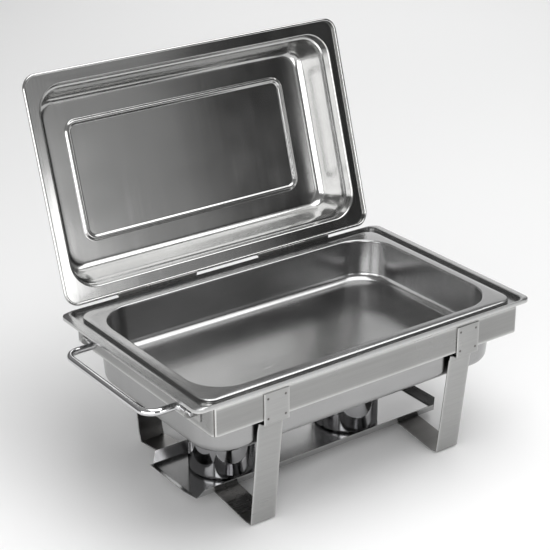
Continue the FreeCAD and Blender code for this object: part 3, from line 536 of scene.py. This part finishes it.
rod, pin = 0.005, 0.003
chrome = steel("polished handle steel", (0.66, 0.66, 0.67), 0.06, 900, 0.04, 0.0, 0.05, 0.02)
reach, arm, pivot_end = 0.3175, 0.107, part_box("handle_right")[1].y
shoulder, taper, tip_edge = 0.1128, 0.0007, 0.0009
neck_bend, bow_bend = 0.0054, 0.020
half = [(pivot_x, pivot_end), (pivot_x, arm), (reach, arm)]
bends = [neck_bend, bow_bend, bow_bend, neck_bend]
bow = bent_line(half + [(x, -y) for x, y in half[::-1]], bends, steps=12)
bow = finer(bow, 0.0006)
turned_down = np.interp(np.abs(bow[:, 1]) - shoulder, [0, taper], [rod, pin])
thick = np.where(np.abs(bow[:, 0] - pivot_x) < 0.0001, turned_down, rod)
bow, thick = blunted(bow, thick, tip_edge)
for end, end_name in ((-1, "left"), (1, "right")):
    grid = rod_along(bow, thick, [(end, 0, 0), (0, 1, 0), (0, 0, 1)]) + (0, 0, pivot_z)
    handle = piece(f"grip_{end_name}", [shell(grid)], chrome)
    fit(handle, f"handle_{end_name}", "handle_chrome", f"handle_{end_name}")

# --- Fuel tray -----------------------------------------------------------------------------
# A tray of 1 mm polished sheet that rests on the floor bars. Its long flanges stand steeply and its
# end flanges lie low; the corners are cut away at a slant, so that the sheet could be folded up.
tray_sheet, tray_wall = 0.001, 0.017
tray_half_x, tray_half_y, tray_bend = 0.215, 0.057, 0.0016
side_nip, end_nip, flange_gap = 0.009, 0.013, 0.001
tray_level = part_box("fuel_tray")[0].z + tray_sheet / 2
steep, shallow = math.radians(60), math.radians(38)
tray_steel = steel("mirror tray steel", (0.40, 0.40, 0.40), 0.15, 1500, 0.06, 0.2, 0.06, 0.04)


def flange_tip(start, slope, sign):
    """Where a flange ends: its start plus the wall's length up the slope."""
    return (start + sign * tray_wall * math.cos(slope), tray_level + tray_wall * math.sin(slope))


def slant(height, slope, nip):
    """How far a flange is cut back at a height: from nothing at the floor to the nip at its tip."""
    return nip * np.clip((height - tray_level) / (tray_wall * math.sin(slope)), 0, 1)


line = bent_line([
    flange_tip(-tray_half_y, steep, -1),
    (-tray_half_y, tray_level),
    (tray_half_y, tray_level),
    flange_tip(tray_half_y, steep, 1),
], [tray_bend, tray_bend])
loop, edge = sheet_section(finer(line, 0.004), tray_sheet)
share = np.linspace(-1, 1, 60)[:, None]
grid = np.empty((60, len(loop), 3))
grid[..., 0] = share * (tray_half_x - slant(loop[:, 1], steep, side_nip))
grid[..., 1:] = loop
tray_shells = [shell(grid, False, edge)]
for end in (-1, 1):
    line = bent_line([
        (tray_half_x - 2 * tray_sheet, tray_level),
        (tray_half_x, tray_level),
        flange_tip(tray_half_x, shallow, 1),
    ], [tray_bend])
    loop, edge = sheet_section(finer(line, 0.003), tray_sheet)
    share = np.linspace(-1, 1, 30)[:, None]
    grid = np.empty((30, len(loop), 3))
    grid[..., 0] = end * loop[:, 0]
    grid[..., 1] = share * (tray_half_y - flange_gap - slant(loop[:, 1], shallow, end_nip))
    grid[..., 2] = loop[:, 1]
    tray_shells.append(shell(grid, False, edge))
tray = piece("tray", tray_shells, tray_steel)
fit(tray, "stand", "tray_steel", "fuel_tray")

# --- Burners -------------------------------------------------------------------------------
# Two fuel cups, spun from polished stainless sheet. A collar closes each cup down to the flame
# opening, and a flat snuffer with a small knob swings over it on a rivet.


def turned(profile, centre, around=96):
    """A profile of (radius, height) points turned about an upright axis through the centre."""
    angle = np.linspace(0, 2 * math.pi, around, endpoint=False)
    radius, height = profile.T
    grid = np.empty((len(profile), around, 3))
    grid[..., 0] = centre[0] + radius[:, None] * np.cos(angle)
    grid[..., 1] = centre[1] + radius[:, None] * np.sin(angle)
    grid[..., 2] = height[:, None]
    return grid


def snuffer_plate(disc, arm_half, rivet_y, eye_end, sheet, edge):
    """A disc with an arm that ends in a round eye: in every direction, the farther of the outlines.

    From the disc's centre, the arm's straight side lies at its half width over the cosine, and its
    round end where the ray leaves the circle about the rivet. The wall inside is left out, because
    the flat end faces close the plate.
    """
    whole_turn = np.linspace(-math.pi, math.pi, 120, endpoint=False)
    angle = np.union1d(whole_turn, math.pi / 2 + np.linspace(-0.2, 0.2, 41))
    ray = np.stack([np.cos(angle), np.sin(angle)], -1)
    inside_eye = np.clip(eye_end ** 2 - (rivet_y * ray[:, 0]) ** 2, 0, None)
    eye_reach = np.where(inside_eye > 0, rivet_y * ray[:, 1] + np.sqrt(inside_eye), 0)
    tiny = 1e-6
    side_reach = np.minimum(arm_half / np.maximum(np.abs(ray[:, 0]), tiny),
                            rivet_y / np.maximum(ray[:, 1], tiny))
    arm_reach = np.where(ray[:, 1] > 0, np.maximum(eye_reach, side_reach), 0)
    reach_out = np.maximum(disc, arm_reach)[:, None]
    outer_wall = slice(4, 12)
    return blunt_plate(ray * reach_out, ray * 0.001, sheet, edge)[outer_wall]


# The tone is set far darker than the handles' polished steel: painted shade, for the dark under the
# water pan that the cups reflect.
cup_steel_with_painted_shade = steel("polished cup steel", (0.38, 0.38, 0.39), 0.06, 1100, 0.04, 0.0, 0.06, 0.02)
cup_sheet, flame_radius, kick_up = 0.0008, 0.026, 0.0014
disc, arm_half, rivet_y, eye_end = 0.029, 0.0054, 0.038, 0.0054
snuffer_sheet, snuffer_edge = 0.0012, 0.0004
knob_core, knob_radius, neck_radius, knob_height, knob_y = 0.0006, 0.004, 0.0022, 0.004, -0.020
rivet_core, rivet_head, shank = 0.0004, 0.001, 0.0016
for side in ("left", "right"):
    low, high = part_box(f"burner_cup_{side}")
    centre = ((low.x + high.x) / 2, (low.y + high.y) / 2)
    radius = (high.x - low.x) / 2 - cup_sheet / 2
    foot_level = low.z + cup_sheet / 2
    line = bent_line([
        (0.001, low.z + kick_up),
        (radius * 0.8, low.z + kick_up),
        (radius * 0.86, foot_level),
        (radius, foot_level),
        (radius, high.z),
    ], [0.003, 0.003, 0.004])
    loop, edge = sheet_section(finer(line, 0.004), cup_sheet, (False, True))
    cup = piece(f"cup_{side}", [shell(turned(loop, centre), False, edge[:, None])], cup_steel_with_painted_shade)
    fit(cup, f"burner_{side}", "burner_steel", f"burner_cup_{side}")

    low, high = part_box(f"burner_collar_{side}")
    rim, wall = (high.x - low.x) / 2, radius - cup_sheet
    line = bent_line([
        (flame_radius + 0.0005, high.z - 0.0022),
        (flame_radius + 0.0005, high.z - 0.0005),
        (rim - 0.0004, high.z - 0.0005),
        (wall + 0.0006, high.z - 0.0016),
        (wall - 0.0004, low.z),
    ], [0.0008, 0.0006, 0.0004], steps=5)
    loop, edge = sheet_section(finer(line, 0.004), cup_sheet)
    collar = piece(f"collar_{side}", [shell(turned(loop, centre), True, edge[:, None])], cup_steel_with_painted_shade)
    fit(collar, f"burner_{side}", "burner_steel", f"burner_collar_{side}")

    low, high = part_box(f"snuffer_{side}")
    plate = snuffer_plate(disc, arm_half, rivet_y, eye_end, snuffer_sheet, snuffer_edge)
    plate += (centre[0], centre[1], low.z + snuffer_sheet / 2)
    knob_line = bent_line([
        (knob_core, high.z),
        (knob_radius, high.z),
        (knob_radius, high.z - knob_height),
        (neck_radius, high.z - knob_height - 0.001),
        (neck_radius, low.z + 0.0003),
        (knob_core, low.z + 0.0003),
    ], [0.0012, 0.0008, 0.0008, 0.0003], 5)
    knob = turned(knob_line, (centre[0], centre[1] + knob_y), 48)
    snuffer = piece(f"snuffer_cover_{side}", [shell(plate), shell(knob)], cup_steel_with_painted_shade)
    fit(snuffer, f"snuffer_{side}", "burner_steel", f"snuffer_{side}")

    low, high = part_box(f"snuffer_rivet_{side}")
    head = (high.x - low.x) / 2
    rivet_line = bent_line([
        (rivet_core, low.z),
        (head, low.z),
        (head, low.z + rivet_head),
        (shank, low.z + rivet_head),
        (shank, high.z - rivet_head),
        (head, high.z - rivet_head),
        (head * 0.8, high.z - 0.0001),
        (rivet_core, high.z),
    ], [0.0003, 0.0003, 0.0001, 0.0001, 0.0003, 0.0006], 4)
    rivet_grid = turned(rivet_line, (centre[0], centre[1] + rivet_y), 40)
    rivet = piece(f"rivet_{side}", [shell(rivet_grid)], cup_steel_with_painted_shade)
    fit(rivet, f"burner_{side}", "burner_steel", f"snuffer_rivet_{side}")

# --- Water pan -----------------------------------------------------------------------------
# The deep pan that stands over the burners, drawn from 0.8 mm sheet. Round its mouth the sheet
# makes a ledge for the food pan, folds up into a double lip, and goes out to hemmed end flanges.
pan_sheet, pan_slope = 0.0008, math.tan(math.radians(4))
hem, fold, lip_in, mouth_in = 0.0056, 0.0104, 0.0113, 0.0304
pan_steel = steel("satin pan steel", (0.36, 0.36, 0.36), 0.23, 1600, 0.07, 0.3, 0.04, 0.02)
low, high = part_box("water_pan")
flange_size, lip_level = high - low, high.z
flange_level = lip_level - 0.0015 - pan_sheet / 2
ledge_level = lip_level - 0.0075 - pan_sheet / 2
floor_level = low.z + pan_sheet / 2
wall_foot = mouth_in + pan_slope * (ledge_level - floor_level)
water_line = bent_line([
    (pan_sheet / 2, flange_level - hem),
    (pan_sheet / 2, flange_level),
    (fold, flange_level),
    (fold, lip_level - pan_sheet / 2),
    (lip_in, lip_level - pan_sheet / 2),
    (lip_in, ledge_level),
    (mouth_in, ledge_level),
    (wall_foot, floor_level),
    (wall_foot + 0.10, floor_level),
], [0.0014, 0.0009, 0.00044, 0.00044, 0.0009, 0.003, 0.0136])
water_section, water_edge = sheet_section(finer(water_line, 0.006), pan_sheet, (True, False))
basin_x, basin_y, basin_corner = 0.514, 0.320, 0.055
water_outlines = [
    (0, flange_size.x, flange_size.y, 0.012),
    (0.010, flange_size.x - 0.020, flange_size.y - 0.001, 0.014),
    (0.012, flange_size.x - 0.024, flange_size.y - 0.005, 0.013),
    (0.030, basin_x, basin_y, basin_corner),
    (0.080, basin_x - 0.100, basin_y - 0.100, 0.008),
    (0.180, basin_x - 0.300, 0.020, 0.008),
]
water_grid = carry_round(water_section, water_outlines, side_steps=30)
water_shell = shell(water_grid, False, water_edge[:, None], blank=water_grid[..., :2])
water_pan = piece("water_pan_body", [water_shell], pan_steel)
fit(water_pan, "water_pan", "pan_steel", "water_pan")

# --- Food pan ------------------------------------------------------------------------------
# The removable full-size pan, drawn from 0.8 mm sheet. Its wide flat rim, turned down at the edge,
# rests on the water pan's ledge, and its mouth has large round corners.
low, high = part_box("food_pan")
rim_size, rim_level = high - low, high.z - pan_sheet / 2
rim_width, rim_drop = 0.0154, 0.0046
floor_level = low.z + pan_sheet / 2
wall_foot = rim_width + pan_slope * (rim_level - floor_level)
food_line = bent_line([
    (pan_sheet / 2, rim_level - rim_drop),
    (pan_sheet / 2, rim_level),
    (rim_width, rim_level),
    (wall_foot, floor_level),
    (wall_foot + 0.10, floor_level),
], [0.0014, 0.0024, 0.0136])
food_section, food_edge = sheet_section(finer(food_line, 0.006), pan_sheet, (True, False))
food_outlines = [
    (0, rim_size.x, rim_size.y, 0.020),
    (0.002, rim_size.x - 0.004, rim_size.y - 0.004, 0.018),
    (0.013, rim_size.x - 0.026, rim_size.y - 0.026, 0.058),
    (0.060, rim_size.x - 0.120, rim_size.y - 0.120, 0.012),
    (0.160, rim_size.x - 0.320, 0.020, 0.008),
]
food_grid = carry_round(food_section, food_outlines, side_steps=30)
food_shell = shell(food_grid, False, food_edge[:, None], blank=food_grid[..., :2])
food_pan = piece("food_pan_body", [food_shell], pan_steel)
fit(food_pan, "food_pan", "pan_steel", "food_pan")

# --- Lid -----------------------------------------------------------------------------------
# A pressed dome of 0.8 mm sheet: an edge rolled round, a flat brim, a small step, sloping walls,
# and a panel that a pressed bead stiffens. It stands open, leaning back in its holders.
lid_steel = steel("satin lid steel", (0.46, 0.46, 0.455), 0.17, 420, 0.07, 0.2, 0.04, 0.015)
lid_low, lid_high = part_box("lid_shell")
roll, lid_depth = 0.0025, 0.060
lid_x, lid_y, lid_corner = lid_high.x - lid_low.x, 0.332, 0.022
to_hinge = lid_y / 2 - roll
swing = math.radians(lid_turn["range_deg"][0])


def opened(points):
    """From the closed lid's own frame to its open place: out to the hinge, then turned about it."""
    y, z = points[..., 1] - to_hinge, points[..., 2]
    return np.stack([points[..., 0], hinge_y + y * math.cos(swing) - z * math.sin(swing),
                     hinge_z + y * math.sin(swing) + z * math.cos(swing)], -1)


curl = np.linspace(math.radians(-60), math.radians(-270), 22)
bend = roll - pan_sheet / 2
edge_roll = np.stack([bend * np.cos(curl), bend * np.sin(curl)], -1)
lid_slope = math.tan(math.radians(17))
panel_level = lid_depth - pan_sheet / 2
mouth, step_rise, step_width = 0.0175, 0.011, 0.003
step_level, step_inset = bend + step_rise, mouth + step_rise * lid_slope
wall_top = step_inset + step_width + (panel_level - step_level) * lid_slope
bead_start, bead_width, bead_depth = 0.0762, 0.0106, 0.0020
dome_line = bent_line([
    (0.0, bend),
    (0.0090, bend - 0.0002),
    (mouth, bend - 0.0005),
    (step_inset, step_level),
    (step_inset + step_width, step_level),
    (wall_top, panel_level),
    (bead_start - 0.0002, panel_level),
], [0.0100, 0.0022, 0.0012, 0.0012, 0.0148], 10)
share = np.linspace(0, 1, 25)
bead_drop = bead_depth * np.sin(share * math.pi) ** 2
bead = np.stack([bead_start + share * bead_width, panel_level - bead_drop], -1)
panel = np.stack([np.linspace(0.0885, 0.1460, 14), np.full(14, panel_level)], -1)
lid_line = np.concatenate([edge_roll[:-1], finer(dome_line, 0.004), bead, panel])
lid_section, lid_edge = sheet_section(lid_line, pan_sheet, (True, False))
lid_outlines = [
    (-roll, lid_x, lid_y, lid_corner),
    (0.004, lid_x - 0.013, lid_y - 0.013, lid_corner - 0.0065),
    (mouth - 0.002, lid_x - 0.036, lid_y - 0.036, 0.0415),
    (wall_top, lid_x - 2 * roll - 2 * wall_top, lid_y - 2 * roll - 2 * wall_top, 0.024),
    (0.0760, 0.3890, 0.1830, 0.0205),
    (0.0870, 0.3670, 0.1610, 0.0095),
    (0.1465, 0.2320, 0.0260, 0.0060),
]
lid_grid = carry_round(lid_section, lid_outlines, corner_steps=14, side_steps=40)
# The drawn panel is not quite flat: two slow waves cross on it, a tenth of a millimetre high.
wave = np.sin(lid_grid[..., 0] * 31 + 0.6) * np.sin(lid_grid[..., 1] * 43 + 1.1)
lid_grid[..., 2] += 0.0001 * wave * (lid_grid[..., 2] > 0.050)
dome_shell = shell(opened(lid_grid), False, lid_edge[:, None], blank=lid_grid[..., 1::-1])
dome = piece("lid_dome", [dome_shell], lid_steel)
fit(dome, "lid", "lid_steel", "lid_shell")

# --- Lid handle ----------------------------------------------------------------------------
# A bent 10 mm rod, bright polished, whose two ends stand on round plates. The plates are cut from
# 1.2 mm sheet and welded to the lid's panel.
span, rise, grip_bend = 0.120, 0.036, 0.014
plate_sheet, plate_radius, plate_core = 0.0012, 0.012, 0.0006
base, seat = lid_depth - 0.0003, lid_depth + plate_sheet
plate_corners = [(plate_core, base), (plate_radius, base), (plate_radius, seat), (plate_core, seat)]
for side, sign in (("left", -1), ("right", 1)):
    profile = bent_line(plate_corners, [0.0002, 0.0006], 4)
    plate = turned(profile, (sign * span / 2, 0), 64)
    plate_piece = piece(f"handle_plate_{side}", [shell(opened(plate))], chrome)
    fit(plate_piece, "lid", "lid_steel", f"lid_handle_plate_{side}")
half = [(-span / 2, seat), (-span / 2, seat + rise)]
bow = bent_line(half + [(-x, z) for x, z in half[::-1]], [grip_bend, grip_bend], 14)
grid = rod_along(bow, rod, [(1, 0, 0), (0, 0, 1), (0, 1, 0)])
lid_grip = piece("lid_grip", [shell(opened(grid))], chrome)
fit(lid_grip, "lid", "handle_chrome", "lid_handle")

# --- Floor, light and camera ---------------------------------------------------------------
# A pale floor, soft lights round the dish, and the view from above its left front corner. A black
# screen at the right darkens the polished faces that look that way.
floor_mesh = bpy.data.meshes.new("floor")
floor_half = 9.0
round_square = ((-1, -1), (1, -1), (1, 1), (-1, 1))
floor_corners = [(x * floor_half, y * floor_half, 0) for x, y in round_square]
floor_mesh.from_pydata(floor_corners, [], [(0, 1, 2, 3)])
floor = bpy.data.objects.new("floor", floor_mesh)
bpy.context.scene.collection.objects.link(floor)
pale = bpy.data.materials.new("pale floor")
pale.use_nodes = True
paint = pale.node_tree.nodes["Principled BSDF"]
paint.inputs["Roughness"].default_value = 0.9
mottle = node(pale.node_tree, "ShaderNodeTexNoise", (-600, 0), {"Scale": 3})
shade = node(pale.node_tree, "ShaderNodeMapRange", (-400, 0), {"To Min": 0.86, "To Max": 0.90})
pale.node_tree.links.new(mottle.outputs["Fac"], shade.inputs["Value"])
pale.node_tree.links.new(shade.outputs["Result"], paint.inputs["Base Color"])
floor_mesh.materials.append(pale)

world = bpy.data.worlds.new("studio")
bpy.context.scene.world = world
world.use_nodes = True
sky = world.node_tree
background = sky.nodes["Background"]
ray = node(sky, "ShaderNodeLightPath", (-800, 300))
direction = node(sky, "ShaderNodeTexCoord", (-1200, 0))
split = node(sky, "ShaderNodeSeparateXYZ", (-1000, 0))
ramp = node(sky, "ShaderNodeValToRGB", (-800, 0))
seen = node(sky, "ShaderNodeMix", (-400, 100), data_type="RGBA")
seen.inputs[colour_b].default_value = (0.9, 0.9, 0.9, 1)
blend_tones(ramp, (0, 0.9), ([0.12] * 3, [0.36] * 3))
sky.links.new(direction.outputs["Generated"], split.inputs["Vector"])
sky.links.new(split.outputs["Z"], ramp.inputs["Fac"])
sky.links.new(ramp.outputs["Color"], seen.inputs[colour_a])
sky.links.new(ray.outputs["Is Camera Ray"], seen.inputs["Factor"])
sky.links.new(seen.outputs[colour_out], background.inputs["Color"])


def facing(place, aim):
    """Unit vectors to the right of, above and behind a thing at a place that faces its aim.

    Behind is from the aim to the place, right is square to it and level, above is square to both.
    """
    back = np.array(place, float) - np.array(aim, float)
    back /= np.linalg.norm(back)
    right = np.cross((0, 0, 1), back)
    right /= np.linalg.norm(right)
    return right, np.cross(back, right), back


def soft_light(name, place, aim, size, power):
    """A rectangular area light that faces its aim and is seen only in reflections."""
    data = bpy.data.lights.new(name, "AREA")
    data.shape = "RECTANGLE"
    data.size, data.size_y = size
    data.energy = power
    lamp = bpy.data.objects.new(name, data)
    bpy.context.scene.collection.objects.link(lamp)
    turn = np.eye(4)
    turn[:3, 3] = place
    turn[:3, :3] = np.stack(facing(place, aim), -1)
    lamp.matrix_world = Matrix(turn.tolist())
    lamp.visible_camera = False


def dark_screen(name, place, aim, size):
    """A black cloth screen that is seen only in the polished pieces and throws no shadow."""
    right, up, _ = facing(place, aim)
    mesh = bpy.data.meshes.new(name)
    across, tall = size[0] / 2 * right, size[1] / 2 * up
    corners = [tuple(np.array(place) + x * across + y * tall) for x, y in round_square]
    mesh.from_pydata(corners, [], [(0, 1, 2, 3)])
    cloth = bpy.data.materials.new(name)
    cloth.use_nodes = True
    black = cloth.node_tree.nodes["Principled BSDF"]
    black.inputs["Base Color"].default_value = (0.01, 0.01, 0.01, 1)
    black.inputs["Roughness"].default_value = 1
    mesh.materials.append(cloth)
    screen = bpy.data.objects.new(name, mesh)
    bpy.context.scene.collection.objects.link(screen)
    screen.visible_camera = screen.visible_diffuse = screen.visible_shadow = False


soft_light("overhead", (0.7, -0.3, 3.0), (0.35, -0.1, 0.2), (3.4, 2.8), 86)
soft_light("front left", (-1.74, -1.95, 0.8), (0.2, 0.2, 0.4), (1.4, 1.5), 30)
soft_light("left", (-2.31, -0.47, 0.65), (0.2, 0.2, 0.4), (1.2, 1.2), 16)
soft_light("front", (0.50, -2.35, 0.5), (0, 0.1, 0.4), (0.7, 0.8), 7)
soft_light("front right", (1.22, -2.54, 0.85), (0, 0.2, 0.45), (0.9, 1.4), 1.0)
soft_light("rear right", (1.9, 2.3, 1.0), (0, 0, 0.2), (2.2, 1.3), 9)
dark_screen("right screen", (1.87, -1.6, 1.2), (0, 0.2, 1.2), (1.25, 2.3))

azimuth, elevation, roll_angle = math.radians(-35.693), math.radians(23.79), math.radians(-0.273)
target, distance = np.array([-0.0659, -0.0365, 0.3021]), 2.1383
level = math.cos(elevation)
back = np.array([math.sin(azimuth) * level, -math.cos(azimuth) * level, math.sin(elevation)])
right = np.array([math.cos(azimuth), math.sin(azimuth), 0])
up = np.cross(back, right)
turn = np.eye(4)
turn[:3, 0] = right * math.cos(roll_angle) + up * math.sin(roll_angle)
turn[:3, 1] = up * math.cos(roll_angle) - right * math.sin(roll_angle)
turn[:3, 2] = back
turn[:3, 3] = target + distance * back
camera_data = bpy.data.cameras.new("camera")
camera_data.lens = 102.83
camera_data.clip_end = 30
camera = bpy.data.objects.new("camera", camera_data)
camera.matrix_world = Matrix(turn.tolist())
bpy.context.scene.collection.objects.link(camera)
bpy.context.scene.camera = camera
bpy.context.scene.view_settings.view_transform = "Standard"
